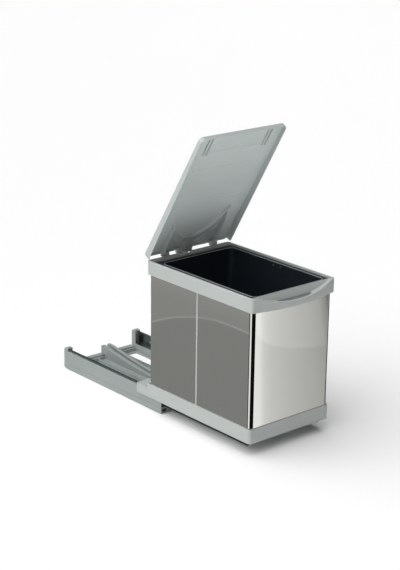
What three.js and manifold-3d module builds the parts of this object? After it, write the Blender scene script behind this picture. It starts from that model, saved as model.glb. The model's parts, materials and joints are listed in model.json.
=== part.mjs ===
// Pull-out waste bin for a kitchen base cabinet, drawn out of the cabinet with its lid swung open.
// Millimetres, +Z up. The bin is drawn out towards -Y; X runs across it. The origin is on the
// underside of the floor frame, on the face that is screwed down to the cabinet floor.
import * as THREE from "three";
import { mergeVertices } from "three/addons/utils/BufferGeometryUtils.js";
import Module from "manifold-3d";

// ---- Driving dimensions --------------------------------------------------------------------------
const GAP = 0.3; // running or assembly clearance between two pieces that meet

// Where the moving parts stand
const DRAWN_OUT = 527; // from the origin forward to the front face of the top rim
const TRAY_HEIGHT = 33; // underside of the floor frame to the lower edge of the tray
const LID_OPEN_DEG = 58.4; // angle of the open lid above horizontal

// Bin body, in the carriage's own frame: y = 0 at the rim's front face, z = 0 at the tray's lower edge
const RIM_W = 257.4;
const RIM_D = 374.6;
const RIM_TOP = 350;
const RIM_BOTTOM = 316;
const RIM_WALL = 4.2;
const RIM_SKIN = 3;
const RIM_CORNER = 8;
const MOUTH = { x: 124, front: 8, rear: 358, corner: 6 };
const SHELF = { x: 112, front: 10, rear: 344, top: 342.7, bottom: 338 }; // carries the liner's lip
const WRAP = { x: 123.5, front: 5.1, rear: 372, bottom: 31.3, top: 322, sheet: 0.8, corner: 10.5 };
const SEAM_Y = 195;
const SEAM_W = 5;
const TRAY = { x: 125.7, front: 3, rear: 375, top: 35.2, wall: 1.8, corner: 9 };
const TRAY_FLOOR = { bottom: 28, top: 31 };
const LEDGE = { rear: 417, bottom: 22.3, top: 24.8 };

// Front handle
const HANDLE_HALF = 118;
const HANDLE_REACH = 16.5;
const HANDLE_DIP = 329; // height of the handle bar's top edge at its middle
const HANDLE_BAR = 5;
const SLOT = { left: -58, right: 48, top: 331 };

// Slides, measured outwards from the middle; heights from the underside of the floor frame
const RAIL = { inner: 98, outer: 120.3, web: 3.3, base: 15.3, lip: 22, top: 49, front: -198, rear: 204 };
const STEEL = 1.2;
const OUTER_SLIDE = { inner: 111.3, outer: 116.5, bottom: 15.6, top: 53.4, front: -196, rear: 187.5 };
const INNER_SLIDE = { inner: 105, outer: 113.9, bottom: 20, top: 49, front: -505, rear: -115 };
const BALL_R = 1.3;
const BALL_X = 112.6;
const CAGE = { front: -194, rear: -118, web: 114.4, flange: 111.6, sheet: 0.5, balls: 5 };
const CAP_FRONT = 188;
const RAIL_SCREWS = [[-150, 34], [140, 34]]; // y, z
const FLOOR_SCREW = { x: 106, y: -188, head: RAIL.base + GAP };

// Floor frame
const FLOOR_X = 97.7;
const FLOOR_SHEET = 3;
const REAR_BAR = { front: 185, rear: 200, top: 15.5 };
const FRONT_BAR = { front: -198, rear: -186, top: 19 };
const SPINE = { left: -30, right: 50 };

// Cam track and the push rod that follows it
const ROD_Y = 397; // in the carriage's frame
const ROD = { left: 6.5, right: 12.5, half: 5 };
const CAM_START = 5.3; // height of the ribs under the roller when the bin is drawn out
const CAM_SLOPE = 0.0363;
const CAM_CURVE = 0.000222;
const CAM_RIBS = [[-6, 5], [14, 23]];
const CAM_RUN = 325;
const ROLLER_R = 6;
const AXLE_R = 2;

// Lid and hinge
const LID = { halfW: 130.7, length: 380.5, skin: 2.2, freeDepth: 12, hingeDepth: 19, rearDepth: 5.8 };
const LID_CORNER = { y: 385.4, z: 358.3 }; // rear outer edge of the open lid, in the carriage's frame
const HINGE = { y: 371, z: 355.8 };
const PIN_R = 2.3;
const LUG_R = 7.5;
const LUGS = { left: [-78.6, -67.6], centre: [-38, -24], right: [67.6, 78.6] };
const FIN = [79, 82];
const CRANK = { y: 397, z: 341, r: 2.5 };

// ---- Materials -----------------------------------------------------------------------------------
const finish = (color, roughness, metalness) =>
  new THREE.MeshStandardMaterial({ color, roughness, metalness });
const greyPlastic = () => finish(0xb4bab8, 0.5, 0);
const darkPlastic = () => finish(0x12171c, 0.45, 0);
const polishedSteel = () => finish(0xa8a8a2, 0.12, 1);
const zincSteel = () => finish(0x7d857f, 0.35, 0.9);
const brightSteel = () => finish(0xc8cccb, 0.25, 1);
const rubber = () => finish(0x2a2c2e, 0.85, 0);

// ---- Solid helpers -------------------------------------------------------------------------------
const wasm = await Module();
wasm.setup();

/** A closed three.js geometry as a solid that can be joined and cut. */
function solid(geometry) {
  const bare = geometry.clone();
  bare.deleteAttribute("normal");
  bare.deleteAttribute("uv");
  const merged = mergeVertices(bare, 1e-4);
  return new wasm.Manifold(new wasm.Mesh({
    numProp: 3,
    vertProperties: new Float32Array(merged.attributes.position.array),
    triVerts: new Uint32Array(merged.index.array),
  }));
}

function geometryOf(body) {
  const data = body.getMesh();
  const geometry = new THREE.BufferGeometry();
  geometry.setAttribute("position", new THREE.BufferAttribute(data.vertProperties, 3));
  geometry.setIndex(new THREE.BufferAttribute(data.triVerts, 1));
  geometry.computeVertexNormals();
  return geometry;
}

const join = (...bodies) => bodies.reduce((whole, piece) => whole.add(piece));
const cut = (body, ...tools) => tools.reduce((left, tool) => left.subtract(tool), body);

/** A box between two corners. */
function box(x0, x1, y0, y1, z0, z1) {
  const geometry = new THREE.BoxGeometry(x1 - x0, y1 - y0, z1 - z0);
  return solid(geometry.translate((x0 + x1) / 2, (y0 + y1) / 2, (z0 + z1) / 2));
}

function polygon(points) {
  return new THREE.Shape(points.map(([a, b]) => new THREE.Vector2(a, b)));
}

/** A rectangle with its four corner radii: front left, front right, rear right, rear left. */
function roundRect(x0, x1, y0, y1, radii) {
  const [fl, fr, rr, rl] = Array.isArray(radii) ? radii : [radii, radii, radii, radii];
  const shape = new THREE.Shape();
  shape.moveTo(x0 + fl, y0).lineTo(x1 - fr, y0).absarc(x1 - fr, y0 + fr, fr, -Math.PI / 2, 0);
  shape.lineTo(x1, y1 - rr).absarc(x1 - rr, y1 - rr, rr, 0, Math.PI / 2);
  shape.lineTo(x0 + rl, y1).absarc(x0 + rl, y1 - rl, rl, Math.PI / 2, Math.PI);
  shape.lineTo(x0, y0 + fl).absarc(x0 + fl, y0 + fl, fl, Math.PI, Math.PI * 1.5);
  return shape;
}

const extruded = (shape, depth, curveSegments) =>
  new THREE.ExtrudeGeometry(shape, { depth, bevelEnabled: false, curveSegments });

/** An outline in X and Y, standing from z0 to z1. */
function slabZ(shape, z0, z1, curveSegments = 6) {
  return solid(extruded(shape, z1 - z0, curveSegments).translate(0, 0, z0));
}

/** An outline in Y and Z, reaching from x0 to x1. */
function slabX(shape, x0, x1, curveSegments = 6) {
  const turn = new THREE.Matrix4().makeBasis(
    new THREE.Vector3(0, 1, 0), new THREE.Vector3(0, 0, 1), new THREE.Vector3(1, 0, 0));
  return solid(extruded(shape, x1 - x0, curveSegments).applyMatrix4(turn).translate(x0, 0, 0));
}

/** An outline in X and Z, reaching from y0 to y1. */
function slabY(shape, y0, y1, curveSegments = 6) {
  return solid(extruded(shape, y1 - y0, curveSegments).rotateX(Math.PI / 2).translate(0, y1, 0));
}

/** A cylinder along X. */
function rodX(y, z, radius, x0, x1, sides = 24) {
  const geometry = new THREE.CylinderGeometry(radius, radius, x1 - x0, sides);
  return solid(geometry.rotateZ(Math.PI / 2).translate((x0 + x1) / 2, y, z));
}

/** A cylinder along Z. */
function rodZ(x, y, radius, z0, z1, sides = 20) {
  const geometry = new THREE.CylinderGeometry(radius, radius, z1 - z0, sides);
  return solid(geometry.rotateX(Math.PI / 2).translate(x, y, (z0 + z1) / 2));
}

/** The same solid on the other side of the middle plane. */
const mirrored = (body) => body.mirror([1, 0, 0]);

// ---- Assembly groups -----------------------------------------------------------------------------
const bin = new THREE.Group();
const base = new THREE.Group();
const carriage = new THREE.Group();
carriage.position.set(0, -DRAWN_OUT, TRAY_HEIGHT);
const lid = new THREE.Group();
lid.position.set(0, LID_CORNER.y, LID_CORNER.z);
lid.rotation.x = -THREE.MathUtils.degToRad(LID_OPEN_DEG);
carriage.add(lid);
bin.add(base, carriage);

function place(group, name, body, material) {
  const mesh = new THREE.Mesh(geometryOf(body), material);
  mesh.name = name;
  group.add(mesh);
}

/** A piece and its mirror image, drawn for the right-hand (+X) side. */
function placePair(group, name, body, material) {
  place(group, `right_${name}`, body, material());
  place(group, `left_${name}`, mirrored(body), material());
}

/** A pan-head screw along X: head from x0 to x0 + head, shank onwards for its length. */
function screwX(y, z, x0, head, headR, shankR, length) {
  const toward = Math.sign(length);
  const ends = (from, to) => [Math.min(from, to), Math.max(from, to)];
  const [h0, h1] = ends(x0, x0 + head * toward);
  const [s0, s1] = ends(x0 + head * 0.5 * toward, x0 + length);
  return join(rodX(y, z, headR, h0, h1, 16), rodX(y, z, shankR, s0, s1, 12));
}

// ---- Floor frame ---------------------------------------------------------------------------------
const CAM_SCREWS = [-120, 150];

function floorFrame() {
  const window = (x0, x1, y0, y1) => slabZ(roundRect(x0, x1, y0, y1, 5), -1, FLOOR_SHEET + 1, 3);
  const plate = box(-FLOOR_X, FLOOR_X, FRONT_BAR.front, REAR_BAR.rear, 0, FLOOR_SHEET);
  const rearBar = box(-FLOOR_X, FLOOR_X, REAR_BAR.front, REAR_BAR.rear, 0, REAR_BAR.top);
  const rearLip = box(-FLOOR_X, FLOOR_X, REAR_BAR.front - 5, REAR_BAR.rear, 0, REAR_BAR.top - 4);
  const frontBar = box(-FLOOR_X, FLOOR_X, FRONT_BAR.front, FRONT_BAR.rear, 0, FRONT_BAR.top);
  const wallHeight = 11;
  const spineWall = (x) => box(x, x + 2.4, FRONT_BAR.rear, REAR_BAR.front - 4, 0, wallHeight);
  const body = join(plate, rearLip, rearBar, frontBar, spineWall(SPINE.left), spineWall(SPINE.right - 2.4));
  const windows = [];
  for (const [y0, y1] of [[-172, -72], [-60, 14], [30, 171]]) {
    windows.push(window(-92, SPINE.left - 2, y0, y1), window(SPINE.right + 2, 92, y0, y1));
  }
  return cut(body, ...windows);
}

function sideRail() {
  const profile = polygon([
    [RAIL.inner, 0], [RAIL.outer, 0], [RAIL.outer, RAIL.top], [RAIL.outer - RAIL.web, RAIL.top],
    [RAIL.outer - RAIL.web, RAIL.base], [RAIL.inner + 2.4, RAIL.base],
    [RAIL.inner + 2.4, RAIL.lip], [RAIL.inner, RAIL.lip],
  ]);
  const wall = slabY(profile, RAIL.front, CAP_FRONT - GAP);
  const groove = box(RAIL.outer - 0.6, RAIL.outer + 1, RAIL.front - 1, CAP_FRONT, RAIL.base - 1, RAIL.base);
  const pocket = box(
    RAIL.inner + 2.4, RAIL.outer - RAIL.web, RAIL.front - 1, RAIL.front + 60, 2.4, RAIL.base - 2.4);
  const foot = box(RAIL.inner, RAIL.outer - RAIL.web, CAP_FRONT - 2, RAIL.rear - 1, 0, 3);
  const floorHole = rodZ(FLOOR_SCREW.x, FLOOR_SCREW.y, 2.1, -1, RAIL.base + 1, 12);
  const sideHoles = RAIL_SCREWS.map(([y, z]) => rodX(y, z, 2.1, 100, 119.3, 12));
  return cut(join(wall, foot), groove, pocket, floorHole, ...sideHoles);
}

/** Pan-head screw down through the front of a rail into the cabinet floor's mounting plate. */
function floorScrew() {
  const { x, y, head } = FLOOR_SCREW;
  return join(rodZ(x, y, 3.4, head, head + 1.8, 16), rodZ(x, y, 1.7, 0.5, head + 1, 12));
}

/** End cap that closes a rail and wraps the steel slide's end, with a rounded top. */
function rearCap() {
  const { outer, rear } = RAIL;
  const top = 57;
  const r = 6;
  const side = new THREE.Shape();
  side.moveTo(CAP_FRONT, 3.3).lineTo(rear, 3.3).lineTo(rear, top - r);
  side.absarc(rear - r, top - r, r, 0, Math.PI / 2);
  side.lineTo(CAP_FRONT + 2, top).absarc(CAP_FRONT + 2, top - 2, 2, Math.PI / 2, Math.PI);
  return slabX(side, 103.6, outer, 5);
}

function outerSlide() {
  const { inner, outer, bottom, top, front, rear } = OUTER_SLIDE;
  const profile = polygon([
    [inner, bottom], [outer, bottom], [outer, top], [inner, top], [inner, top - STEEL],
    [outer - STEEL, top - STEEL], [outer - STEEL, bottom + STEEL], [inner, bottom + STEEL],
  ]);
  return cut(slabY(profile, front, rear), ...RAIL_SCREWS.map(([y, z]) => rodX(y, z, 3.6, 112, 118, 16)));
}

function ballCage() {
  const { front, rear, web, flange, sheet, balls } = CAGE;
  const low = (OUTER_SLIDE.bottom + STEEL + INNER_SLIDE.bottom) / 2;
  const high = (OUTER_SLIDE.top - STEEL + INNER_SLIDE.top) / 2;
  const half = sheet / 2;
  const profile = polygon([
    [flange, low - half], [web + sheet, low - half], [web + sheet, high + half], [flange, high + half],
    [flange, high - half], [web, high - half], [web, low + half], [flange, low + half],
  ]);
  const pitch = (rear - front - 16) / (balls - 1);
  const ball = (y, z) => solid(new THREE.SphereGeometry(BALL_R, 8, 5).rotateX(0.3).translate(BALL_X, y, z));
  let body = slabY(profile, front, rear);
  for (let i = 0; i < balls; i++) {
    const y = front + 8 + i * pitch;
    body = join(body, ball(y, low), ball(y, high));
  }
  return body;
}

/** Rubber stop in the back of the fixed slide, which the moving slide meets when the bin is pushed in. */
const slideBuffer = () => box(106, 114.9, 176, CAP_FRONT - GAP, 23, 46);

/** Height of the cam ribs above the frame's underside, s millimetres behind the drawn-out roller. */
const camHeight = (s) => CAM_START + CAM_SLOPE * s + CAM_CURVE * s * s;

function camTrack() {
  const start = ROD_Y - DRAWN_OUT;
  const floor = FLOOR_SHEET + GAP;
  const steps = 16;
  const outline = [[start - 14, floor], [REAR_BAR.front - 5.5, floor],
    [REAR_BAR.front - 5.5, REAR_BAR.top + GAP], [start + CAM_RUN, REAR_BAR.top + GAP]];
  for (let i = 0; i <= steps; i++) {
    const s = CAM_RUN - (CAM_RUN * i) / steps;
    outline.push([start + s, camHeight(s) - (i === 0 ? 3 : 0)]);
  }
  outline.push([start - 14, camHeight(0)]);
  const ribs = CAM_RIBS.map(([x0, x1]) => slabX(polygon(outline), x0, x1));
  const sole = box(-12, 30, start - 20, REAR_BAR.front - 5.5, floor, floor + 1.3);
  const tieY = start + 300;
  const tie = box(4, 15, tieY, tieY + 9, floor, camHeight(300) - 12);
  const screws = CAM_SCREWS.map((y) => rodZ(26.5, y, 2.1, 0, 8, 12));
  return cut(join(...ribs, sole, tie), ...screws);
}

// ---- Carriage: tray, slides and body -------------------------------------------------------------
const FLANGE = { inner: 100, outer: 104.7, bottom: -8, front: 24, rear: 410 };
const SLIDE_SCREWS = [[60, 2], [360, 2]];

function tray() {
  const { x, front, rear, top, wall, corner } = TRAY;
  const plan = roundRect(-x, x, front, LEDGE.rear, [corner, corner, 1, 1]);
  const inner = corner - wall;
  const inside = roundRect(-x + wall, x - wall, front + wall, LEDGE.rear + 9, [inner, inner, 0.5, 0.5]);
  const overLedge = box(-x - 1, x + 1, rear, LEDGE.rear + 1, LEDGE.top, top + 1);
  const skirt = cut(slabZ(plan, 0, top), slabZ(inside, -1, top + 1), overLedge);
  const floorPlan = roundRect(-x + 1, x - 1, front + 1, rear - 0.5, [corner, corner, 1, 1]);
  const floor = slabZ(floorPlan, TRAY_FLOOR.bottom, TRAY_FLOOR.top);
  const rearWall = box(-x + 0.5, x - 0.5, rear - 2, rear, LEDGE.bottom, top);
  const ledge = box(-x + 0.5, x - 0.5, rear - 2, LEDGE.rear, LEDGE.bottom, LEDGE.top);
  const flange = join(
    box(FLANGE.inner, FLANGE.outer, FLANGE.front, FLANGE.rear, FLANGE.bottom, LEDGE.bottom + 1),
    box(FLANGE.inner, FLANGE.outer, FLANGE.front, rear - 1, FLANGE.bottom, TRAY_FLOOR.bottom + 1));
  const rodHole = box(ROD.left - 2, ROD.right + 2, ROD_Y - ROD.half - 2, ROD_Y + ROD.half + 2, 0, 40);
  const holes = SLIDE_SCREWS.map(([y, z]) => rodX(y, z, 2.1, 101, 106, 12));
  const flanged = cut(flange, ...holes);
  return cut(join(skirt, floor, rearWall, ledge, flanged, mirrored(flanged)), rodHole);
}

function innerSlide() {
  const { inner, outer, front, rear } = INNER_SLIDE;
  const bottom = INNER_SLIDE.bottom - TRAY_HEIGHT;
  const top = INNER_SLIDE.top - TRAY_HEIGHT;
  const profile = polygon([
    [inner, bottom], [outer, bottom], [outer, bottom + STEEL], [inner + STEEL, bottom + STEEL],
    [inner + STEEL, top - STEEL], [outer, top - STEEL], [outer, top], [inner, top],
  ]);
  const bar = slabY(profile, front + DRAWN_OUT, rear + DRAWN_OUT);
  return cut(bar, ...SLIDE_SCREWS.map(([y, z]) => rodX(y, z, 2.1, 100, 108, 12)));
}

function wrap() {
  const { x, front, rear, bottom, top, sheet, corner } = WRAP;
  const outer = slabZ(roundRect(-x, x, front, rear, corner), bottom, top, 8);
  const inner = slabZ(
    roundRect(-x + sheet, x - sheet, front + sheet, rear - sheet, corner - sheet), bottom - 1, top + 1, 8);
  return cut(outer, inner);
}

const SEAM = { front: SEAM_Y - SEAM_W / 2, rear: SEAM_Y + SEAM_W / 2 };
const frontWrap = () => cut(wrap(), box(-200, 200, SEAM.front, 500, 0, 400));
const rearWrap = () => cut(wrap(), box(-200, 200, -50, SEAM.rear, 0, 400));

/** Joint strip between the two sheets: a bar in the joint with a flange behind both sheets. */
function seamStrip() {
  const inside = WRAP.x - WRAP.sheet - GAP;
  const bar = box(inside - 0.5, WRAP.x + 0.1, SEAM.front + GAP, SEAM.rear - GAP, WRAP.bottom, WRAP.top);
  const flange = box(inside - 1.5, inside, SEAM_Y - 8, SEAM_Y + 8, WRAP.bottom, WRAP.top);
  return join(bar, flange);
}

// ---- Top rim with its handle ---------------------------------------------------------------------
/** Front face of the handle: how far it stands in front of the rim at x. */
const BOW_HALF = RIM_W / 2 - RIM_CORNER;
const bow = (x) => HANDLE_REACH * (1 - (x / BOW_HALF) ** 2);
const bowPoint = (x, inset) => [x, -bow(x) + inset];

/** Height of the handle bar's top edge at x. */
function dip(x) {
  const t = Math.min(1, Math.abs(x) / HANDLE_HALF);
  return HANDLE_DIP + (RIM_TOP - HANDLE_DIP) * t * t;
}

function handleBar() {
  const steps = 14;
  const across = (i) => -BOW_HALF + (2 * BOW_HALF * i) / steps;
  const plan = [];
  for (let i = 0; i <= steps; i++) plan.push(bowPoint(across(i), 0));
  plan.push([BOW_HALF, 5], [-BOW_HALF, 5]);
  const slot = [];
  const slotAcross = (i) => SLOT.left + ((SLOT.right - SLOT.left) * i) / 8;
  for (let i = 0; i <= 8; i++) slot.push(bowPoint(slotAcross(i), HANDLE_BAR));
  slot.push([SLOT.right, 6], [SLOT.left, 6]);
  const behind = slabZ(polygon(slot), RIM_BOTTOM - 1, RIM_TOP + 1);
  const bar = cut(slabZ(polygon(plan), RIM_BOTTOM, RIM_TOP), behind);
  const above = [];
  for (let i = 0; i <= steps; i++) {
    const x = -HANDLE_HALF + (2 * HANDLE_HALF * i) / steps;
    above.push([x, dip(x)]);
  }
  above.push([HANDLE_HALF, RIM_TOP + 5], [-HANDLE_HALF, RIM_TOP + 5]);
  return cut(bar, slabY(polygon(above), -40, 6));
}

/** Wall that slopes from the mouth's front edge down and forward to the finger slot. */
function scoop() {
  const wall = polygon([
    [5, RIM_TOP], [MOUTH.front, RIM_TOP], [MOUTH.front, RIM_TOP - 4],
    [-1.2, RIM_BOTTOM], [-4, RIM_BOTTOM], [-4, RIM_BOTTOM + 5],
  ]);
  return slabX(wall, -HANDLE_HALF, HANDLE_HALF);
}

function topRim() {
  const w = RIM_W / 2;
  const shell = slabZ(roundRect(-w, w, 0, RIM_D, RIM_CORNER), RIM_BOTTOM, RIM_TOP);
  const hollow = slabZ(
    roundRect(-w + RIM_WALL, w - RIM_WALL, 2.4, RIM_D - 2.4, 5), RIM_BOTTOM - 1, RIM_TOP - RIM_SKIN);
  const shelf = slabZ(roundRect(-w + 2, w - 2, 4.6, MOUTH.rear + 3, 5), SHELF.bottom, RIM_TOP);
  const opening = slabZ(roundRect(-SHELF.x, SHELF.x, SHELF.front, SHELF.rear, 4), 300, SHELF.top);
  const mouth = slabZ(
    roundRect(-MOUTH.x, MOUTH.x, MOUTH.front, MOUTH.rear, MOUTH.corner), SHELF.top, RIM_TOP + 5);
  const handleRoom = box(-HANDLE_HALF, HANDLE_HALF, -30, 4.6, RIM_BOTTOM - 1, RIM_TOP + 1);
  const lug = ([x0, x1]) => join(
    rodX(HINGE.y, HINGE.z, LUG_R, x0, x1), box(x0, x1, HINGE.y - LUG_R, RIM_D - 1, RIM_TOP - 1, HINGE.z));
  const leverRoom = box(-22, 4, 361, RIM_D + 1, 338, RIM_TOP + 1);
  const pinHole = rodX(HINGE.y, HINGE.z, PIN_R + GAP, -100, 100);
  const fingerSlot = box(SLOT.left, SLOT.right, -6, 9, RIM_BOTTOM - 1, SLOT.top);
  const ring = cut(join(cut(shell, hollow), shelf), handleRoom);
  const rim = cut(join(ring, handleBar(), scoop()), mouth, opening, fingerSlot);
  return cut(join(rim, ...Object.values(LUGS).map(lug)), leverRoom, pinHole);
}

// ---- Liner ---------------------------------------------------------------------------------------
/** A tub wall: the outline stands at z1 and shrinks towards z0. */
function tapered(shape, z0, z1, insetX, insetFront, insetRear, halfX, y0, y1) {
  const geometry = extruded(shape, z1 - z0, 5).translate(0, 0, z0);
  const points = geometry.attributes.position;
  for (let i = 0; i < points.count; i++) {
    if (points.getZ(i) > z0 + 0.01) continue;
    const v = (points.getY(i) - y0) / (y1 - y0);
    points.setX(i, points.getX(i) * (1 - insetX / halfX));
    points.setY(i, points.getY(i) + insetFront * (1 - v) - insetRear * v);
  }
  return solid(geometry);
}

function linerBin() {
  const outer = { x: 111.4, y0: 12.4, y1: 343.4 };
  const wall = 2;
  const floor = TRAY_FLOOR.top + 3;
  const lipTop = SHELF.top + GAP + 2.4;
  const shellOf = (t, z0, z1) => tapered(
    roundRect(-outer.x + t, outer.x - t, outer.y0 + t, outer.y1 - t, 14 - t),
    z0, z1, 14, 14, 14, outer.x - t, outer.y0 + t, outer.y1 - t);
  const lipX = MOUTH.x - 0.4;
  const lipPlan = roundRect(-lipX, lipX, MOUTH.front + 0.4, MOUTH.rear - 0.4, MOUTH.corner);
  const lip = slabZ(lipPlan, SHELF.top + GAP, lipTop);
  const peg = (x0, x1, y) => rodX(y, 338.5, 2.6, x0, x1, 12);
  const pegs = [[-111, -106.5], [106.5, 111]].flatMap(([x0, x1]) => [161, 186].map((y) => peg(x0, x1, y)));
  const body = cut(join(shellOf(0, floor, 344), lip), shellOf(wall, floor + wall, lipTop + 1));
  return join(body, ...pegs);
}

// ---- Hinge, lever and push rod -------------------------------------------------------------------
function hingePin(x0, x1) {
  return join(rodX(HINGE.y, HINGE.z, PIN_R, x0, x1, 20), rodX(HINGE.y, HINGE.z, 3.4, x0 - 1.6, x0, 16));
}

/** Torsion spring round the middle hinge pin, with one leg down behind the rim. */
function openingSpring() {
  const wire = 0.9;
  const radius = 4.6;
  const turns = 4;
  const pitch = 2.6;
  const leg = 12;
  const coilLength = turns * 2 * Math.PI * radius;
  const legShare = leg / (leg + coilLength);
  class Wire extends THREE.Curve {
    getPoint(t, target = new THREE.Vector3()) {
      if (t < legShare) return target.set(-20, HINGE.y + radius, HINGE.z - leg * (1 - t / legShare));
      const turned = ((t - legShare) / (1 - legShare)) * turns;
      const angle = turned * 2 * Math.PI;
      const [y, z] = [HINGE.y + radius * Math.cos(angle), HINGE.z + radius * Math.sin(angle)];
      return target.set(-20 + pitch * turned, y, z);
    }
  }
  const section = new THREE.Shape().absarc(0, 0, wire, 0, 2 * Math.PI);
  const options = { steps: 44, curveSegments: 6, bevelEnabled: false, extrudePath: new Wire() };
  return solid(new THREE.ExtrudeGeometry(section, options));
}

function rodGuide(z0, z1) {
  const block = box(ROD.left - 5, ROD.right + 5, WRAP.rear + GAP, ROD_Y + ROD.half + 4, z0, z1);
  const plate = box(ROD.left - 17, ROD.right + 17, WRAP.rear + GAP, WRAP.rear + 3, z0, z1);
  const play = 0.4;
  const bore = box(
    ROD.left - play, ROD.right + play, ROD_Y - ROD.half - play, ROD_Y + ROD.half + play, z0 - 1, z1 + 1);
  const relief = box(ROD.left - 2.4, ROD.right + 2.4, WRAP.rear + 4, ROD_Y - ROD.half - 3, z0 - 1, z1 + 1);
  const holes = [ROD.left - 12, ROD.right + 12].map((x) =>
    solid(new THREE.CylinderGeometry(2.1, 2.1, 10, 12).translate(x, WRAP.rear + 3, (z0 + z1) / 2)));
  return cut(join(block, plate), bore, relief, ...holes);
}

const GUIDES = { upper: [292, 308], lower: [110, 126] };

/** Pan-head screw along Y through a guide's plate. */
function guideScrew(x, z) {
  const head = solid(new THREE.CylinderGeometry(3.6, 3.6, 2, 16).translate(x, WRAP.rear + 3 + GAP + 1, z));
  const shank = solid(new THREE.CylinderGeometry(1.7, 1.7, 3.2, 12).translate(x, WRAP.rear + 2.2, z));
  return join(head, shank);
}

/** Height of the roller axle in the carriage's frame. */
const axleZ = CAM_START + ROLLER_R + GAP - TRAY_HEIGHT;

function pushRod() {
  const { left, right, half: halfRod } = ROD;
  const stem = box(left, right, ROD_Y - halfRod, ROD_Y + halfRod, axleZ - 4.6, CRANK.z + 2);
  const head = slabX(roundRect(ROD_Y - 8, ROD_Y + 12, CRANK.z - 9, CRANK.z + 8, 4), left, right, 4);
  const slot = slabX(
    roundRect(CRANK.y - 2.9, CRANK.y + 7, CRANK.z - 2.9, CRANK.z + 2.9, 2.8), left - 1, right + 1, 5);
  return cut(join(stem, head), slot, rodX(ROD_Y, axleZ, AXLE_R + GAP, left - 1, right + 1, 16));
}

const rollerAxle = () => join(
  rodX(ROD_Y, axleZ, AXLE_R, -6, 24, 16),
  rodX(ROD_Y, axleZ, 3, -7, -5.8, 16),
  rodX(ROD_Y, axleZ, 3, 23.8, 25, 16));

const roller = (x0, x1) => cut(
  rodX(ROD_Y, axleZ, ROLLER_R, x0, x1, 28), rodX(ROD_Y, axleZ, AXLE_R + GAP, x0 - 1, x1 + 1, 16));

// ---- Lid, in its own frame: y = 0 at its rear edge running forward to -length, z = 0 its outer face --
/** A point given by its distance along the lid and its depth below the outer face. */
const onLid = (along, depth) => [-along, -depth];
const LID_HINGE = { along: 5.42, depth: 13.57 };
const LID_CRANK = { along: -20.81, depth: -0.81 };
const ARCH_X = -9; // the arched ribs are centred on the lever, left of the middle

/** A thin rib under the lid, following a line across it. */
function crossRib(line, [x0, x1], thickness, depth, steps = 16) {
  const near = [];
  const far = [];
  for (let i = 0; i <= steps; i++) {
    const x = x0 + ((x1 - x0) * i) / steps;
    near.push([x, -line(x) - thickness / 2]);
    far.unshift([x, -line(x) + thickness / 2]);
  }
  return slabZ(polygon([...near, ...far]), -depth, -LID.skin + 0.5);
}

function lidBracket() {
  const fin = polygon([
    onLid(118, 2), onLid(88, 12), onLid(26, 13.5), onLid(11, 18.4), onLid(3, 18.4), onLid(3, 2)]);
  const knuckle = rodX(-LID_HINGE.along, -LID_HINGE.depth, 5.2, FIN[0], FIN[1] + 2, 20);
  const hole = rodX(-LID_HINGE.along, -LID_HINGE.depth, PIN_R + GAP, FIN[0] - 1, FIN[1] + 5, 20);
  return cut(join(slabX(fin, ...FIN), knuckle), hole);
}

function lidShell() {
  const { halfW, length, skin, freeDepth, hingeDepth, rearDepth } = LID;
  const side = polygon([
    onLid(0, 0), onLid(-1, 13), onLid(8.5, hingeDepth), onLid(length, freeDepth), onLid(length, 0)]);
  const plan = roundRect(-halfW, halfW, -length, 2, [12, 12, 3, 3]);
  const inner = roundRect(-halfW + skin, halfW - skin, -length + skin, -skin, [10, 10, 2, 2]);
  const rearOpening = box(-halfW + skin, halfW - skin, -skin - 1, 3, -30, -rearDepth);
  const shell = cut(
    slabX(side, -halfW, halfW).intersect(slabZ(plan, -40, 1)), slabZ(inner, -40, -skin), rearOpening);
  const ribs = [325, 270, 216, 164].map((along) => crossRib(() => along, [-103, 103], 2, skin + 1, 1));
  const bend = (x) => (x - ARCH_X) ** 2;
  const arch = crossRib((x) => 43.5 + 0.0078 * bend(x) + 3.6e-7 * bend(x) ** 2, [-80, 80], 2.4, 9);
  const lowArch = crossRib((x) => 21 + 0.0075 * bend(x), [-80, 80], 2, 7.5);
  const padWalls = [[84, 86.4], [94.6, 97]].map(([x0, x1]) => box(x0, x1, -372, -319, -5.8, -skin + 0.5));
  const bracket = lidBracket();
  const leverRoom = box(-22, 4, -8, 5, -30, 1);
  const details = [bracket, ...padWalls];
  const body = join(shell, ...ribs, arch, lowArch, ...details, ...details.map(mirrored));
  return cut(body, leverRoom, box(-21.6, 3.6, -47.6, 0, -30, -skin));
}

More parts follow.
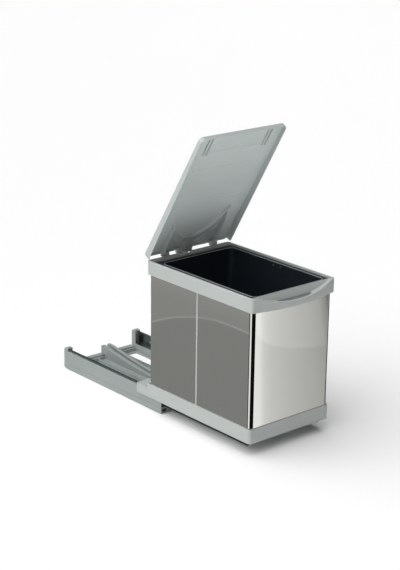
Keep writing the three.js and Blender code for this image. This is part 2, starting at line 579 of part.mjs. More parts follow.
/** Lever that joins the lid to the push rod, screwed up under the lid. */
function lidLever() {
  const hub = rodX(-LID_HINGE.along, -LID_HINGE.depth, 7, -8, 3, 24);
  const seat = LID.skin + GAP;
  const side = polygon([onLid(9, seat), onLid(47, seat), onLid(47, 5.5), onLid(14, 17.5), onLid(7, 19.5)]);
  const foot = slabX(side, -21, 3);
  const springRoom = rodX(-LID_HINGE.along, -LID_HINGE.depth, 7.4, -22, -8.3, 24);
  const dy = LID_CRANK.along - LID_HINGE.along;
  const dz = LID_CRANK.depth - LID_HINGE.depth;
  const reach = Math.hypot(dy, dz);
  const halfArm = 4.6;
  const [ny, nz] = [(-dz / reach) * halfArm, (dy / reach) * halfArm];
  const arm = slabX(polygon([
    onLid(LID_HINGE.along + ny, LID_HINGE.depth + nz), onLid(LID_HINGE.along - ny, LID_HINGE.depth - nz),
    onLid(LID_CRANK.along - ny, LID_CRANK.depth - nz), onLid(LID_CRANK.along + ny, LID_CRANK.depth + nz),
  ]), -8, 3);
  const eye = rodX(-LID_CRANK.along, -LID_CRANK.depth, 5.4, -8, 3, 20);
  const pinHole = rodX(-LID_HINGE.along, -LID_HINGE.depth, PIN_R + GAP, -30, 10, 20);
  const crankHole = rodX(-LID_CRANK.along, -LID_CRANK.depth, CRANK.r + GAP, -30, 10, 20);
  return cut(join(cut(foot, springRoom), hub, arm, eye), pinHole, crankHole);
}

const crankPin = () => join(
  rodX(-LID_CRANK.along, -LID_CRANK.depth, CRANK.r, -8.6, 14, 20),
  rodX(-LID_CRANK.along, -LID_CRANK.depth, 4, -10, -8.4, 16),
  rodX(-LID_CRANK.along, -LID_CRANK.depth, 3.8, 13.2, 14.6, 16));

// ---- Put together --------------------------------------------------------------------------------
place(base, "floor_frame", floorFrame(), greyPlastic());
placePair(base, "side_rail", sideRail(), greyPlastic);
placePair(base, "rear_cap", rearCap(), greyPlastic);
placePair(base, "outer_slide", outerSlide(), zincSteel);
placePair(base, "slide_buffer", slideBuffer(), rubber);
place(base, "cam_track", camTrack(), greyPlastic());
RAIL_SCREWS.forEach(([y, z], i) => {
  placePair(base, `rail_screw_${i + 1}`, screwX(y, z, 115.2, 1.3, 3.2, 1.7, 3.6), brightSteel);
});
placePair(base, "floor_screw", floorScrew(), brightSteel);
placePair(base, "ball_cage", ballCage(), zincSteel);

place(carriage, "tray", tray(), greyPlastic());
placePair(carriage, "inner_slide", innerSlide(), zincSteel);
SLIDE_SCREWS.forEach(([y, z], i) => {
  placePair(carriage, `slide_screw_${i + 1}`, screwX(y, z, 108.3, 1.7, 3.4, 1.7, -6.8), brightSteel);
});
place(carriage, "front_wrap", frontWrap(), polishedSteel());
place(carriage, "rear_wrap", rearWrap(), polishedSteel());
placePair(carriage, "seam_strip", seamStrip(), brightSteel);
place(carriage, "top_rim", topRim(), greyPlastic());
place(carriage, "liner_bin", linerBin(), darkPlastic());
place(carriage, "left_hinge_pin", hingePin(-86, -67), brightSteel());
place(carriage, "centre_hinge_pin", hingePin(-40, 4), brightSteel());
place(carriage, "right_hinge_pin", mirrored(hingePin(-86, -67)), brightSteel());
place(carriage, "opening_spring", openingSpring(), brightSteel());
for (const [level, [z0, z1]] of Object.entries(GUIDES)) {
  place(carriage, `${level}_rod_guide`, rodGuide(z0, z1), darkPlastic());
  place(carriage, `${level}_guide_screw_left`, guideScrew(ROD.left - 12, (z0 + z1) / 2), brightSteel());
  place(carriage, `${level}_guide_screw_right`, guideScrew(ROD.right + 12, (z0 + z1) / 2), brightSteel());
}
place(carriage, "push_rod", pushRod(), greyPlastic());
place(carriage, "roller_axle", rollerAxle(), brightSteel());
place(carriage, "left_roller", roller(-4.4, 4.4), darkPlastic());
place(carriage, "right_roller", roller(14.6, 22.4), darkPlastic());

place(lid, "lid_shell", lidShell(), greyPlastic());
place(lid, "lid_lever", lidLever(), greyPlastic());
place(lid, "crank_pin", crankPin(), brightSteel());

export default bin;
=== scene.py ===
"""Pull-out waste bin, drawn out with its lid open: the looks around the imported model.

The model's frame is in metres. Pieces of the carriage are laid out here in millimetres, y from the
front face of the top rim and z from the lower edge of the tray, and `spot` turns such a point into
the model's frame.
"""

import json
import math

import bmesh
import bpy
from mathutils import Matrix, Vector


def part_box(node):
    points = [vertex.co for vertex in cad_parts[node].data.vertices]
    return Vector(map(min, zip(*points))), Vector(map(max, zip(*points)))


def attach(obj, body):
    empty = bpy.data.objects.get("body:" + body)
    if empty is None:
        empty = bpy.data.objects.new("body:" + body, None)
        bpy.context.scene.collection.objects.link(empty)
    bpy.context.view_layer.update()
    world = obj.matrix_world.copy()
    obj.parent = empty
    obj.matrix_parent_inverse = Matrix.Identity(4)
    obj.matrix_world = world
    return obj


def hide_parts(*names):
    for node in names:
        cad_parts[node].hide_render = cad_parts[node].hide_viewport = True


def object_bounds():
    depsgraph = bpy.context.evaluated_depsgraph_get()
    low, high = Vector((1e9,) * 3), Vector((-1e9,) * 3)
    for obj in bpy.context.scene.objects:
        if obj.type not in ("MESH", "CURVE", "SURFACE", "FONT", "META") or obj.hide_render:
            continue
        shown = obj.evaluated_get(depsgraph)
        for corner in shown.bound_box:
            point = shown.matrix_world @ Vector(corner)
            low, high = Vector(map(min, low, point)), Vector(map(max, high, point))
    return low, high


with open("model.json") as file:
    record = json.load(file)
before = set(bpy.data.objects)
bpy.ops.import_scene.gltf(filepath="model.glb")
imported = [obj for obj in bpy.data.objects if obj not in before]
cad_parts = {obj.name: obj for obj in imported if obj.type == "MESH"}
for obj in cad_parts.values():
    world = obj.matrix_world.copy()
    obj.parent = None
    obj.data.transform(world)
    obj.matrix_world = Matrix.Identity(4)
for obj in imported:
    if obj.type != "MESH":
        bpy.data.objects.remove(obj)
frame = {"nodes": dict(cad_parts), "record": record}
CAD_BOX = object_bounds()
NODES = frame["nodes"]
SLOT_OF = {part["node"]: part["material_slot"] for part in frame["record"]["subparts"]}
MM = 0.001
FLOOR_Z = CAD_BOX[0].z

# ---- Dimensions, in millimetres ------------------------------------------------------------------
WRAP = {"x": 123.5, "front": 5.1, "rear": 372.0, "bottom": 31.3, "top": 322.0, "sheet": 0.8,
        "corner": 10.5}
SEAM = {"front": 192.5, "rear": 197.5}
LID = {"half": 130.7, "length": 380.5, "skin": 2.2, "free": 12.0, "hinge": 19.0, "rear": 5.8,
       "corner": 12.0}
LID_CORNER = (385.4, 358.3)
LID_TILT = math.radians(58.4)
RIM = {"half": 128.7, "depth": 374.6, "top": 350.0, "low": 316.0, "corner": 8.0, "shelf": 342.7}
HANDLE = {"half": 118.0, "bow_half": 120.7, "reach": 16.5, "dip": 329.0, "bar": 5.0}
SLOT = {"left": -58.0, "right": 48.0, "top": 331.0, "back": 2.6}
HINGE = (371.0, 355.8)
LUGS = ((-78.6, -67.6), (-38.0, -24.0), (67.6, 78.6))
LIP = {"x": 123.6, "front": 8.4, "rear": 357.6, "top": 345.4, "low": 343.0}
TUB = {"x": 108.2, "front": 15.6, "rear": 340.2, "wall": 2.0, "floor": 34.0, "draft": 14.0}
# BEAD is a light ring on the liner's lip, a painted highlight line along its edge.
BEAD = {"x": 109.2, "front": 16.0, "rear": 339.6, "z": 346.5, "radius": 0.6}
PEG = {"y": (161, 186), "z": 338.5, "radius": 2.6}
LUG_RADIUS = 7.5
LEVER_ROOM = ((-22, 361), (4, 361), (4, 376), (-22, 376))
SOFT_RIBS = (325, 270, 216, 164)
CARD_LOWEST, CARD_STEP = -0.4, 0.05

# ---- Camera and lamp, in metres and degrees ------------------------------------------------------
CAMERA = {"place": (-2.3171, -2.8973, 1.4722), "azimuth": -40.64, "elevation": 18.143,
          "roll": 0.754, "lens": 97.64}
LID_FILL = {"place": (-0.2, -1.35, 0.1), "aim": (0, -0.25, 0.55), "size": (1.2, 0.8), "energy": 9.5}

WRAP_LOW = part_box("front_wrap")[0]
CARRIAGE_Y = WRAP_LOW.y / MM - WRAP["front"]
CARRIAGE_Z = WRAP_LOW.z / MM - WRAP["bottom"]


def spot(x, y, z):
    """A point of the carriage."""
    return Vector((x, y + CARRIAGE_Y, z + CARRIAGE_Z)) * MM


def on_lid(x, along, depth):
    """A point of the lid: along from its rear edge, and depth down from its outer face."""
    c, s = math.cos(LID_TILT), math.sin(LID_TILT)
    return spot(x, LID_CORNER[0] - c * along - s * depth, LID_CORNER[1] + s * along - c * depth)


# ---- Node helpers --------------------------------------------------------------------------------
class Nodes:
    """A material's node tree with short calls to add and link nodes."""

    def __init__(self, name):
        self.material = bpy.data.materials.new(name)
        self.material.use_nodes = True
        self.tree = self.material.node_tree
        self.shader = self.tree.nodes["Principled BSDF"]

    def add(self, kind, inputs=(), **settings):
        node = self.tree.nodes.new(kind)
        for key, value in settings.items():
            setattr(node, key, value)
        for key, value in dict(inputs).items():
            if isinstance(value, bpy.types.NodeSocket):
                self.tree.links.new(value, node.inputs[key])
            else:
                node.inputs[key].default_value = value
        return node

    def link(self, output, socket):
        self.tree.links.new(output, self.shader.inputs[socket])

    def position(self, stretch=(1, 1, 1)):
        place = self.add("ShaderNodeTexCoord").outputs["Object"]
        scaled = self.add("ShaderNodeVectorMath", {0: place, 1: stretch}, operation="MULTIPLY")
        return scaled.outputs[0]

    def noise(self, scale, detail=2.0, stretch=(1, 1, 1)):
        inputs = {"Vector": self.position(stretch), "Scale": scale, "Detail": detail}
        return self.add("ShaderNodeTexNoise", inputs)

    def between(self, factor, low, high):
        spread = self.add("ShaderNodeMapRange", {"Value": factor, "From Min": 0.3, "From Max": 0.7,
                                                 "To Min": low, "To Max": high})
        return spread.outputs["Result"]

    def tint(self, factor, dark, light):
        mix = self.add("ShaderNodeMix", {"Factor": self.between(factor, 0, 1)}, data_type="RGBA")
        mix.inputs[6].default_value = (*dark, 1)
        mix.inputs[7].default_value = (*light, 1)
        return mix.outputs[2]

    def bump(self, height, depth):
        inputs = {"Height": height, "Distance": depth, "Strength": 1.0}
        return self.add("ShaderNodeBump", inputs).outputs["Normal"]


def shade(colour, amount):
    return tuple(c * amount for c in colour)


def moulded(name, colour, roughness, grain=0.00006, spread=0.03):
    """Injection-moulded plastic with a fine spark-eroded grain and faint flow variation."""
    nodes = Nodes(name)
    flow = nodes.noise(9, 3).outputs["Fac"]
    nodes.link(nodes.tint(flow, shade(colour, 1 - spread), shade(colour, 1 + spread)), "Base Color")
    gloss = nodes.noise(60, 3).outputs["Fac"]
    nodes.link(nodes.between(gloss, roughness - 0.05, roughness + 0.05), "Roughness")
    nodes.link(nodes.bump(nodes.noise(1400, 2).outputs["Fac"], grain), "Normal")
    return nodes.material


def metal(name, colour, roughness, stretch, scratches=0.000004, spread=0.04):
    """Metal with faint drawing lines across the stretched direction."""
    nodes = Nodes(name)
    nodes.shader.inputs["Metallic"].default_value = 1
    lines = nodes.noise(600, 3, stretch).outputs["Fac"]
    haze = nodes.noise(14, 3).outputs["Fac"]
    nodes.link(nodes.tint(haze, shade(colour, 1 - spread), shade(colour, 1 + spread)), "Base Color")
    nodes.link(nodes.between(lines, roughness * 0.8, roughness * 1.25), "Roughness")
    nodes.link(nodes.bump(lines, scratches), "Normal")
    return nodes.material


def glow(name, direction, stops):
    """Emission along a direction over the floor, from stops of (distance in mm, strength): the glow
    of the cards that paint reflections.
    """
    nodes = Nodes(name)
    first, last = stops[0][0], stops[-1][0]
    place = nodes.add("ShaderNodeTexCoord").outputs["Object"]
    along = nodes.add("ShaderNodeVectorMath", {0: place, 1: (*direction, 0)},
                      operation="DOT_PRODUCT")
    share = nodes.add("ShaderNodeMapRange", {"Value": along.outputs["Value"],
                                             "From Min": first * MM, "From Max": last * MM})
    ramp = nodes.add("ShaderNodeValToRGB", {"Fac": share.outputs["Result"]})
    while len(ramp.color_ramp.elements) < len(stops):
        ramp.color_ramp.elements.new(1)
    for element, (distance, strength) in zip(ramp.color_ramp.elements, stops):
        element.position = (distance - first) / (last - first)
        element.color = (strength, strength, strength, 1)
    nodes.link(ramp.outputs["Color"], "Emission Color")
    nodes.shader.inputs["Emission Strength"].default_value = 1
    nodes.shader.inputs["Specular IOR Level"].default_value = 0
    nodes.shader.inputs["Base Color"].default_value = (0, 0, 0, 1)
    return nodes.material


MATERIALS = {
    "grey_plastic": moulded("grey_plastic", (0.41, 0.436, 0.424), 0.42),
    # The frame's grey plastic is made darker than grey_plastic: painted shade for the frame low
    # under the carriage.
    "frame_plastic": moulded("frame_plastic", (0.285, 0.315, 0.308), 0.42),
    "lid_plastic": moulded("lid_plastic", (0.41, 0.45, 0.44), 0.38),
    "anthracite_plastic": moulded("anthracite_plastic", (0.0085, 0.012, 0.0165), 0.36),
    "black_plastic": moulded("black_plastic", (0.018, 0.018, 0.02), 0.38),
    "black_rubber": moulded("black_rubber", (0.02, 0.02, 0.02), 0.8, 0.00012),
    "polished_steel": metal("polished_steel", (0.62, 0.62, 0.59), 0.045, (1, 1, 0.03),
                            scratches=0.0000006, spread=0.01),
    "zinc_steel": metal("zinc_steel", (0.19, 0.235, 0.21), 0.34, (1, 0.05, 1)),
    "bright_steel": metal("bright_steel", (0.66, 0.66, 0.64), 0.2, (1, 1, 1)),
}


# ---- Mesh helpers --------------------------------------------------------------------------------
def add_modifiers(piece, width, segments, angle=35):
    if width:
        bevel = piece.modifiers.new("bevel", "BEVEL")
        bevel.width = width * MM
        bevel.segments = segments
        bevel.limit_method = "ANGLE"
        bevel.angle_limit = math.radians(angle)
    normals = piece.modifiers.new("normals", "WEIGHTED_NORMAL")
    normals.keep_sharp = True
    piece.data.shade_smooth()


def carry_over(name, width=0.4, segments=2):
    """A CAD node as it is, with its flat faces merged and its edges rounded."""
    node = NODES[name]
    node.data.materials.clear()
    node.data.materials.append(MATERIALS[SLOT_OF[name]])
    weld = node.modifiers.new("weld", "WELD")
    weld.merge_threshold = 1e-6
    flat = node.modifiers.new("flat", "DECIMATE")
    flat.decimate_type = "DISSOLVE"
    flat.angle_limit = math.radians(0.5)
    add_modifiers(node, width, segments)


def mesh_of(name, shells):
    mesh = bpy.data.meshes.new(name)
    points, faces = [], []
    for shell_points, shell_faces in shells:
        faces += [[i + len(points) for i in face] for face in shell_faces]
        points += shell_points
    mesh.from_pydata(points, [], faces)
    work = bmesh.new()
    work.from_mesh(mesh)
    bmesh.ops.recalc_face_normals(work, faces=work.faces)
    work.to_mesh(mesh)
    work.free()
    return mesh


def new_piece(name, shells, body, slot, width=0.0, segments=2, angle=35):
    """A piece from closed shells of (points, faces)."""
    piece = bpy.data.objects.new(name, mesh_of(name, shells))
    piece.data.materials.append(MATERIALS[slot])
    bpy.context.scene.collection.objects.link(piece)
    add_modifiers(piece, width, segments, angle)
    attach(piece, body)
    return piece


def stand_for(node, shells, body, **edges):
    """A piece in place of a CAD node."""
    piece = new_piece(f"{node}_visual", shells, body, SLOT_OF[node], **edges)
    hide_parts(node)
    return piece


def carve(shell, cutters):
    """A shell with other shells cut out of it."""
    block = bpy.data.objects.new("block", mesh_of("block", [shell]))
    tools = [bpy.data.objects.new("tool", mesh_of("tool", [cutter])) for cutter in cutters]
    for item in [block] + tools:
        bpy.context.scene.collection.objects.link(item)
    for tool in tools:
        step = block.modifiers.new("cut", "BOOLEAN")
        step.operation = "DIFFERENCE"
        step.object = tool
    carved = block.evaluated_get(bpy.context.evaluated_depsgraph_get()).to_mesh()
    result = [v.co.copy() for v in carved.vertices], [list(f.vertices) for f in carved.polygons]
    for item in [block] + tools:
        bpy.data.objects.remove(item)
    return result


def loft(rings, closed=False):
    """A solid skin through equal rings of points, capped at both ends or closed to a loop."""
    count = len(rings[0])
    points = [point for ring in rings for point in ring]
    faces = []
    for level in range(len(rings) if closed else len(rings) - 1):
        low, high = level * count, ((level + 1) % len(rings)) * count
        for i in range(count):
            j = (i + 1) % count
            faces.append([low + i, low + j, high + j, high + i])
    if not closed:
        faces.append(list(range(count)))
        faces.append(list(range(len(points) - count, len(points))))
    return points, faces


def rounded(x0, x1, y0, y1, radius, steps=8, splits=1):
    """Points of a rounded rectangle, anticlockwise from the front right corner."""
    radius = max(radius, 0.01)
    corners = [(x1 - radius, y0 + radius, -90), (x1 - radius, y1 - radius, 0),
               (x0 + radius, y1 - radius, 90), (x0 + radius, y0 + radius, 180)]
    arcs = [[(cx + radius * math.cos(math.radians(start + 90 * i / steps)),
              cy + radius * math.sin(math.radians(start + 90 * i / steps)))
             for i in range(steps + 1)]
            for cx, cy, start in corners]
    points = []
    for arc, following in zip(arcs, arcs[1:] + arcs[:1]):
        points += arc
        (ax, ay), (bx, by) = arc[-1], following[0]
        points += [(ax + (bx - ax) * i / splits, ay + (by - ay) * i / splits)
                   for i in range(1, splits)]
    return points


# ---- Steel sheets --------------------------------------------------------------------------------
def bent_sheet(node, path):
    """The sheet standing on a path of outside points, with its thickness inwards."""
    inside = []
    for i, (x, y) in enumerate(path):
        (px, py), (qx, qy) = path[max(i - 1, 0)], path[min(i + 1, len(path) - 1)]
        tangent = Vector((qx - px, qy - py)).normalized()
        inside.append((x - tangent.y * WRAP["sheet"], y + tangent.x * WRAP["sheet"]))
    outline = path + inside[::-1]
    rings = [[spot(x, y, z) for x, y in outline] for z in (WRAP["bottom"], WRAP["top"])]
    stand_for(node, [loft(rings)], "carriage", width=0.15, angle=60)


def corner_path(y_seam, y_end, side, steps=24):
    """From the joint on one flank round two corners to the joint on the other flank."""
    x, radius = WRAP["x"], WRAP["corner"]
    sign = 1 if side == "front" else -1
    points = [(-x * sign, y_seam)]
    for cx, start in ((-x + radius, 180), (x - radius, 270)):
        for i in range(steps + 1):
            angle = math.radians(start + 90 * i / steps)
            points.append((sign * (cx + radius * math.cos(angle)),
                           y_end + sign * (radius + radius * math.sin(angle))))
    return points + [(x * sign, y_seam)]


bent_sheet("front_wrap", corner_path(SEAM["front"], WRAP["front"], "front"))
bent_sheet("rear_wrap", corner_path(SEAM["rear"], WRAP["rear"], "rear"))


# ---- Top rim with its handle ---------------------------------------------------------------------
def bow(x):
    """How far the handle's face stands in front of the rim."""
    return HANDLE["reach"] * max(0, 1 - (x / HANDLE["bow_half"]) ** 2)


def dip(x):
    """Height of the handle bar's top edge."""
    share = min(1, abs(x) / HANDLE["half"])
    return HANDLE["dip"] + (RIM["top"] - HANDLE["dip"]) * share * share


def rim_ring(inset, front, rear, radius, z, front_z=None):
    """One ring round the rim.

    front(x) gives y along the front side, where front_z(x) may give a height.
    """
    half, steps, splits = RIM["half"] - inset, 8, 48
    points = []
    for x, y in rounded(-half, half, 0, RIM["depth"] - rear, radius, steps, splits):
        share = max(0, 1 - y / 12)
        points.append(spot(x, y + front(x) * share, z + (front_z(x) - z) * share if front_z else z))
    return points


def scoop_front(z):
    """The face that slopes from the mouth's front edge down and forward."""
    return -4 + (z - 321) * 9 / 29


def finger_slot(x):
    """The space behind the handle bar, and under the scoop, at x."""
    bar, back, top = HANDLE["bar"] - bow(x), SLOT["back"], SLOT["top"]
    high = dip(x) + 3
    outline = ((bar, 300), (back, 300), (back, top), (scoop_front(top) + 0.1, top),
               (scoop_front(high) + 0.1, high), (bar, high))
    return [spot(x, y, z) for y, z in outline]


def rim():
    """One closed skin: up the outside, down into the mouth, under the shelf and back out."""
    top, low, shelf, corner, edge = RIM["top"], RIM["low"], RIM["shelf"], RIM["corner"], 1.8
    under = shelf - 4.7
    foot = lambda x: scoop_front(dip(x))
    raised = lambda lift: lambda x: min(dip(x) + lift, top)
    rings = [rim_ring(0, lambda x: -bow(x), 0, corner, low)]
    for i in range(6):
        angle = math.radians(18 * i)
        inset, drop = edge * (1 - math.cos(angle)), edge * (1 - math.sin(angle))
        rings.append(rim_ring(inset, lambda x: inset - bow(x), inset, corner - inset, top - drop,
                              lambda x: dip(x) - drop))
    rings += [rim_ring(*ring) for ring in (
        (2.4, lambda x: min(4 - bow(x), 5), 3, 5.5, top, dip),
        (2.8, lambda x: min(foot(x) - 1.5, 6.0), 4, 5, top, dip),
        (3.1, lambda x: min(foot(x) - 0.2, 6.4), 5, 5, top, raised(0.5)),
        (3.4, lambda x: min(foot(x) + 0.6, 6.8), 6, 5, top, raised(1.8)),
        (3.7, lambda x: 7.0, 15.2, 5, top),
        (4.3, lambda x: 7.7, 16.2, 5.6, top - 0.3),
        (4.7, lambda x: 8.0, 16.6, 6, top - 1.1),
        (4.7, lambda x: 8.0, 16.6, 6, shelf),
        (16.7, lambda x: 10.0, 30.6, 4, shelf),
        (16.7, lambda x: 10.0, 30.6, 4, under),
        (4.2, lambda x: 4.0, 2.4, 5, under),
        (4.2, lambda x: 4.0, 2.4, 5, low))]
    width = SLOT["right"] - SLOT["left"]
    slot = loft([finger_slot(SLOT["left"] + width * i / 24) for i in range(25)])
    lever_room = loft([[spot(x, y, z) for x, y in LEVER_ROOM] for z in (336, 352)])
    shells = [carve(loft(rings, closed=True), [slot, lever_room])]
    foot_z = top - 1
    for x0, x1 in LUGS:
        outline = [(HINGE[0] - LUG_RADIUS, foot_z)]
        outline += [(HINGE[0] - LUG_RADIUS * math.cos(a), HINGE[1] + LUG_RADIUS * math.sin(a))
                    for a in (math.radians(-30 + 15 * i) for i in range(15))]
        outline.append((RIM["depth"] - 1, foot_z))
        shells.append(loft([[spot(x, y, z) for y, z in outline] for x in (x0, x1)]))
    stand_for("top_rim", shells, "carriage", width=0.5)


rim()


# ---- Liner ---------------------------------------------------------------------------------------
def flat_ring(x, y0, y1, z, radius):
    return [spot(px, py, z) for px, py in rounded(-x, x, y0, y1, radius, 12)]


def liner():
    """One skin from the floor inside, up to the lip, out over it and back down outside."""
    def tub_ring(inset, z, radius):
        inset += TUB["draft"] * (LIP["top"] - z) / (LIP["top"] - TUB["floor"])
        return flat_ring(TUB["x"] - inset, TUB["front"] + inset, TUB["rear"] - inset, z, radius)

    def lip_ring(inset, z, radius):
        return flat_ring(LIP["x"] - inset, LIP["front"] + inset, LIP["rear"] - inset, z, radius)

    wall, floor, bend = TUB["wall"], TUB["floor"], 12
    rings = []
    for i in range(9):
        angle = math.radians(90 * i / 8)
        inward, upward = 1 - math.sin(angle), 1 - math.cos(angle)
        rings.append(tub_ring(bend * inward, floor + wall + bend * upward, 16 - 4 * inward))
    rings += [tub_ring(0, LIP["top"] - 20, 13), tub_ring(0, LIP["top"] - 1.2, 12.5),
              tub_ring(-0.5, LIP["top"] - 0.3, 12.5), tub_ring(-1.2, LIP["top"], 12.5)]
    rings += [lip_ring(0.5, LIP["top"], 5.5), lip_ring(0.1, LIP["top"] - 0.2, 5.9),
              lip_ring(0, LIP["top"] - 0.7, 6), lip_ring(0, LIP["low"], 6),
              tub_ring(-wall, LIP["low"], 14)]
    rings += [tub_ring(-wall, z, 14) for z in (LIP["low"] - 2, floor + 10)]
    rings += [tub_ring(1, floor + 2, 12), tub_ring(8, floor, 8)]
    pegs = []
    circle = [(PEG["radius"] * math.cos(a), PEG["radius"] * math.sin(a))
              for a in (math.tau * i / 20 for i in range(20))]
    for side in (-1, 1):
        for y in PEG["y"]:
            pegs.append(loft([[spot(side * x, y + cy * k, PEG["z"] + cz * k) for cy, cz in circle]
                              for x, k in ((110.5, 1), (105.6, 1), (105.0, 0.8))]))
    stand_for("liner_bin", [loft(rings)], "carriage")
    new_piece("liner_pegs", pegs, "carriage", "zinc_steel")
    # A light grey bead round the black liner's lip: a painted highlight line along its edge.
    bead = []
    for i in range(8):
        angle = math.tau * i / 8
        out, up = BEAD["radius"] * math.cos(angle), BEAD["radius"] * math.sin(angle)
        bead.append(flat_ring(BEAD["x"] + out, BEAD["front"] - out, BEAD["rear"] + out,
                              BEAD["z"] + up, 12 + out))
    new_piece("liner_bead_painted_highlight", [loft(bead, closed=True)], "carriage", "grey_plastic")


liner()


# ---- Lid -----------------------------------------------------------------------------------------
def skirt_depth(x, along):
    """How far the skirt hangs below the outer face."""
    if along < 6 and abs(x) < LID["half"] - 3.2:
        return LID["rear"]
    return LID["hinge"] + (LID["free"] - LID["hinge"]) * max(along - 8.5, 0) / (LID["length"] - 8.5)


def lid_outline(inset, radius):
    """The lid's outline at an inset, as points of (x, along)."""
    half, length = LID["half"] - inset, LID["length"] - inset
    return [(x, -y) for x, y in rounded(-half, half, -length, -inset, radius, 10, 24)]


def lid_skin():
    """The lid's shell: from its inner face, round the skirt's lower edge, to its outer face."""
    skin, edge = LID["skin"], 2.4

    def ring(inset, depth):
        return [on_lid(x, a, depth(x, a)) for x, a in lid_outline(inset, LID["corner"] - inset)]

    rings = [ring(inset, lambda x, a: depth) for inset, depth in (
        (skin + 2.2, skin), (skin + 1.0, skin + 0.35), (skin + 0.3, skin + 1.1),
        (skin, skin + 2.4))]
    rings += [ring(inset, lambda x, a: skirt_depth(x, a) - lift) for inset, lift in (
        (skin, 0.3), (skin - 0.35, 0), (0.35, 0), (0, 0.3))]
    for i in range(6):
        angle = math.radians(90 * i / 5)
        drop = edge * (1 - math.sin(angle))
        rings.append(ring(edge * (1 - math.cos(angle)), lambda x, a: drop))
    return loft(rings)


def across(line, x0, x1, profile, steps=48):
    """A rib under the lid along a line over x, with a closed profile of (offset along, depth)."""
    rings = []
    for i in range(steps + 1):
        x = x0 + (x1 - x0) * i / steps
        slope = line(x + 0.5) - line(x - 0.5)
        length = math.hypot(1, slope)
        rings.append([on_lid(x - offset * slope / length, line(x) + offset / length, depth)
                      for offset, depth in profile])
    return loft(rings)


def soft_rib(width, depth, steps=8):
    skin = LID["skin"] - 0.3
    crest = [(width * (i / steps - 0.5), skin + 0.3 + depth * math.sin(math.pi * i / steps))
             for i in range(steps + 1)]
    return [(-width / 2, skin)] + crest + [(width / 2, skin)]


def lip_rib(thick, depth, fillet):
    """A standing rib with a fillet on the side towards the free end."""
    skin = LID["skin"] - 0.3
    curve = [(thick / 2 + fillet * (1 - math.cos(a)), LID["skin"] + fillet * (1 - math.sin(a)))
             for a in (math.radians(15 * i) for i in range(1, 7))]
    blade = [(-thick / 2, skin), (-thick / 2, depth - 0.5), (-thick / 2 + 0.5, depth),
             (thick / 2 - 0.5, depth), (thick / 2, depth - 0.5)]
    return blade + curve + [(thick / 2 + fillet, skin)]


def plate(outline, x0, x1):
    """A plate across x from an outline of (along, depth)."""
    return loft([[on_lid(x, along, depth) for along, depth in outline] for x in (x0, x1)])


def lid():
    shells = [lid_skin()]
    shells += [across(lambda x, a=a: a, -103, 103, soft_rib(5, 1.3), 2) for a in SOFT_RIBS]
    bend = lambda x: (x + 9) ** 2
    shells.append(across(lambda x: 43.5 + 0.0078 * bend(x) + 3.6e-7 * bend(x) ** 2, -80, 80,
                         lip_rib(2.4, 9, 3)))
    shells.append(across(lambda x: 21 + 0.0075 * bend(x), -80, 80, lip_rib(2, 7.5, 1.6)))
    skin = LID["skin"] - 0.3
    fin = [(118, skin), (112, 5), (88, 12), (26, 13.5), (11, 18.4), (3, 18.4), (3, skin)]
    channel_wall = [(318, skin), (321, 5.8), (371, 5.8), (373, skin)]
    for side in (-1, 1):
        shells.append(plate(fin, side * 79, side * 82))
        circle = [(5.42 + 5.2 * math.cos(t), 13.57 + 5.2 * math.sin(t))
                  for t in (math.tau * i / 28 for i in range(28))]
        shells.append(plate(circle, side * 78.9, side * 84))
        for x0, x1 in ((84, 86.4), (94.6, 97)):
            shells.append(plate(channel_wall, side * x0, side * x1))
    return stand_for("lid_shell", shells, "lid", width=0.35)


LID_PIECE = lid()


# ---- Pieces kept from the model ------------------------------------------------------------------
EDGE = {"tray": (0.8, 3), "floor_frame": (0.7, 2), "left_side_rail": (0.5, 2),
        "right_side_rail": (0.5, 2), "left_rear_cap": (0.9, 3), "right_rear_cap": (0.9, 3),
        "opening_spring": (0, 0)}
for name in NODES:
    if name not in ("front_wrap", "rear_wrap", "liner_bin", "lid_shell", "top_rim"):
        carry_over(name, *EDGE.get(name, (0.3, 2)))


# ---- Camera, light, floor and glowing cards that paint reflections -------------------------------
def add_camera():
    """A long lens from the front left, a little above the bin."""
    angles = (CAMERA["azimuth"], CAMERA["elevation"], CAMERA["roll"])
    azimuth, elevation, roll = (math.radians(angle) for angle in angles)
    data = bpy.data.cameras.new("camera")
    data.lens = CAMERA["lens"]
    data.clip_end = 50
    camera = bpy.data.objects.new("camera", data)
    turn = Matrix.Rotation(azimuth, 4, "Z") @ Matrix.Rotation(math.pi / 2 - elevation, 4, "X")
    place = Matrix.Translation(CAMERA["place"])
    camera.matrix_world = place @ turn @ Matrix.Rotation(roll, 4, "Z")
    bpy.context.scene.collection.objects.link(camera)
    bpy.context.scene.camera = camera


def add_light():
    data = bpy.data.lights.new("soft_sun", "SUN")
    data.energy = 4.1
    data.angle = math.radians(100)
    sun = bpy.data.objects.new("soft_sun", data)
    sun.rotation_euler = Vector((0.6, -0.13, -1)).to_track_quat("-Z", "Y").to_euler()
    bpy.context.scene.collection.objects.link(sun)
    world = bpy.data.worlds.new("studio")
    bpy.context.scene.world = world
    world.use_nodes = True
    tree = world.node_tree
    sky = tree.nodes["Background"]
    place = tree.nodes.new("ShaderNodeTexCoord")
    split = tree.nodes.new("ShaderNodeSeparateXYZ")
    ramp = tree.nodes.new("ShaderNodeMapRange")
    for key, value in (("From Min", -0.1), ("From Max", 1), ("To Min", 0.34), ("To Max", 0.6)):
        ramp.inputs[key].default_value = value
    tree.links.new(place.outputs["Generated"], split.inputs[0])
    tree.links.new(split.outputs["Z"], ramp.inputs["Value"])
    tree.links.new(ramp.outputs["Result"], sky.inputs["Strength"])
    bpy.context.scene.view_settings.view_transform = "Standard"


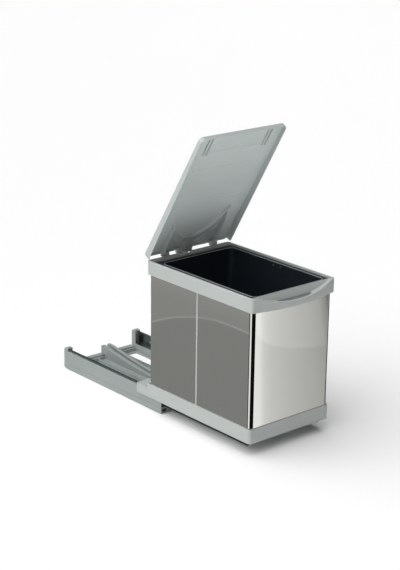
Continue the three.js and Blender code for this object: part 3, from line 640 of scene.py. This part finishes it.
def add_lid_fill():
    """Light thrown up under the open lid, as a white sheet in front of the bin would."""
    data = bpy.data.lights.new("lid_fill", "AREA")
    data.shape = "RECTANGLE"
    data.size, data.size_y = LID_FILL["size"]
    data.energy = LID_FILL["energy"]
    lamp = bpy.data.objects.new("lid_fill", data)
    lamp.location = LID_FILL["place"]
    aim = Vector(LID_FILL["aim"]) - lamp.location
    lamp.rotation_euler = aim.to_track_quat("-Z", "Y").to_euler()
    bpy.context.scene.collection.objects.link(lamp)
    lit = bpy.data.collections.new("lit_by_lid_fill")
    lit.objects.link(LID_PIECE)
    lamp.light_linking.receiver_collection = lit


def stage_piece(name, points, faces, material):
    """A stage piece from points in millimetres, their height taken from the floor."""
    mesh = bpy.data.meshes.new(name)
    mesh.from_pydata([Vector((x * MM, y * MM, FLOOR_Z + z * MM)) for x, y, z in points], [], faces)
    mesh.materials.append(material)
    piece = bpy.data.objects.new(name, mesh)
    bpy.context.scene.collection.objects.link(piece)
    return piece


def add_floor():
    nodes = Nodes("studio_floor")
    nodes.shader.inputs["Base Color"].default_value = (0.88, 0.88, 0.88, 1)
    nodes.shader.inputs["Roughness"].default_value = 0.8
    nodes.shader.inputs["Specular IOR Level"].default_value = 0.1
    size = 30000
    corners = ((-size, -size), (size, -size), (size, size), (-size, size))
    stage_piece("floor", [(x, y, -0.5) for x, y in corners], [[0, 1, 2, 3]], nodes.material)


CARD_LEVELS = iter(range(1, 40))


def only_in_mirrors(piece):
    for ray in ("camera", "diffuse", "transmission", "shadow"):
        setattr(piece, f"visible_{ray}", False)


def card(name, outline, stops, direction=(1, 0)):
    """A glowing surface on the floor that only mirrors can see, a painted reflection, each a little
    above the one before.
    """
    height = next(CARD_LEVELS) * CARD_STEP + CARD_LOWEST
    points = [(x, y, height) for x, y in outline]
    surface = stage_piece(name, points, [list(range(len(points)))], glow(name, direction, stops))
    only_in_mirrors(surface)


def screen(name, centre, start, end, strength, reach=24, steps=10):
    """An upright glowing screen bent round a corner of the bin, seen only in mirrors, between
    bearings in degrees from +X: a painted reflection on the wrap's corner.
    """
    points = []
    for i in range(steps + 1):
        angle = math.radians(start + (end - start) * i / steps)
        x, y = centre[0] + reach * math.cos(angle), centre[1] + reach * math.sin(angle)
        points += [(x, y, 40), (x, y, 372)]
    faces = [[2 * i, 2 * i + 2, 2 * i + 3, 2 * i + 1] for i in range(steps)]
    only_in_mirrors(stage_piece(name, points, faces, glow(name, (1, 0), flat_glow(strength))))


def flat_glow(strength):
    return [(-1000, strength), (1000, strength)]


def sector(centre, start, end, reach=6000, steps=6):
    """A slice of floor round a point, between two bearings in degrees from +X."""
    angles = [math.radians(start + (end - start) * i / steps) for i in range(steps + 1)]
    return [centre] + [(centre[0] + reach * math.cos(a), centre[1] + reach * math.sin(a))
                       for a in angles]


def add_painted_reflections():
    """Painted reflections: glowing cards that only mirrors see, laid out as a dim room with a table
    on the left, a bright window in front and dark walls between them.
    """
    size = 6000
    card("room", [(-size, -size), (size, -size), (size, size), (-size, size)],
         [(-6000, 0.35), (-1800, 0.5), (-300, 0.72), (500, 0.6), (1400, 0.45), (6000, 0.6)],
         (0.8, 0.6))
    # Brighter rims round the bench and the table paint light lines into the reflections.
    card("bench_edge", rounded(224, 1306, -906, 516, 126, 12), flat_glow(0.8))
    card("bench", rounded(230, 1300, -900, 510, 120, 12), [(200, 0.42), (1300, 0.3)])
    card("left_wall", [(-size, -size), (-100, -size), (-100, size), (-size, size)],
         [(-2600, 0.6), (-1100, 0.5), (-700, 0.35), (-600, 0.35)])
    edge_x, edge_y, radius = -681, 338, 130
    table = rounded(edge_x, 400, -900, edge_y, radius, 12)
    rim = rounded(edge_x - 6, 406, -906, edge_y + 6, radius + 6, 12)
    card("table_edge", rim, flat_glow(0.6))
    card("table", table, [(-681, 0.31), (-125, 0.3)])
    across_front = (0.738, 0.675)
    # The window's painted reflection: bright at one side, fading across, with a narrow dark band
    # before a dimmer rest.
    fade = [(-445, 1.25), (-420, 1.2), (-408, 0.95), (-390, 0.84), (-360, 0.76), (-320, 0.68),
            (-280, 0.61), (-245, 0.53), (-222, 0.42), (-212, 0.14), (-204, 0.14), (-192, 0.5),
            (-40, 0.62)]
    card("window", sector((-122, -521), 305, 330) + [(900, -300), (130, -300)], fade, across_front)
    horizon = [(526, -1211), (446, -1115), (422, -1072), (418, -1035), (445, -984), (490, -953),
               (540, -938)]
    far = [(x + 2025, y - 2214) for x, y in (horizon[-1], horizon[0])]
    card("window_far", horizon + far, [(w, strength * 1.12) for w, strength in fade], across_front)
    left, right = (-118, -516), (118, -516)
    # Painted reflections on the wraps' front corners: a dim band, a painted highlight and a black
    # strip on the left corner, black on the right.
    screen("left_corner_painted_dark", left, 136, 164, 0.1)
    screen("left_corner_painted_highlight", left, 164, 205, 1.2)
    screen("left_corner_painted_black", left, 205, 305, 0.004)
    screen("right_corner_painted_black", right, -42, 70, 0.01)


add_camera()
add_light()
add_lid_fill()
add_floor()
add_painted_reflections()
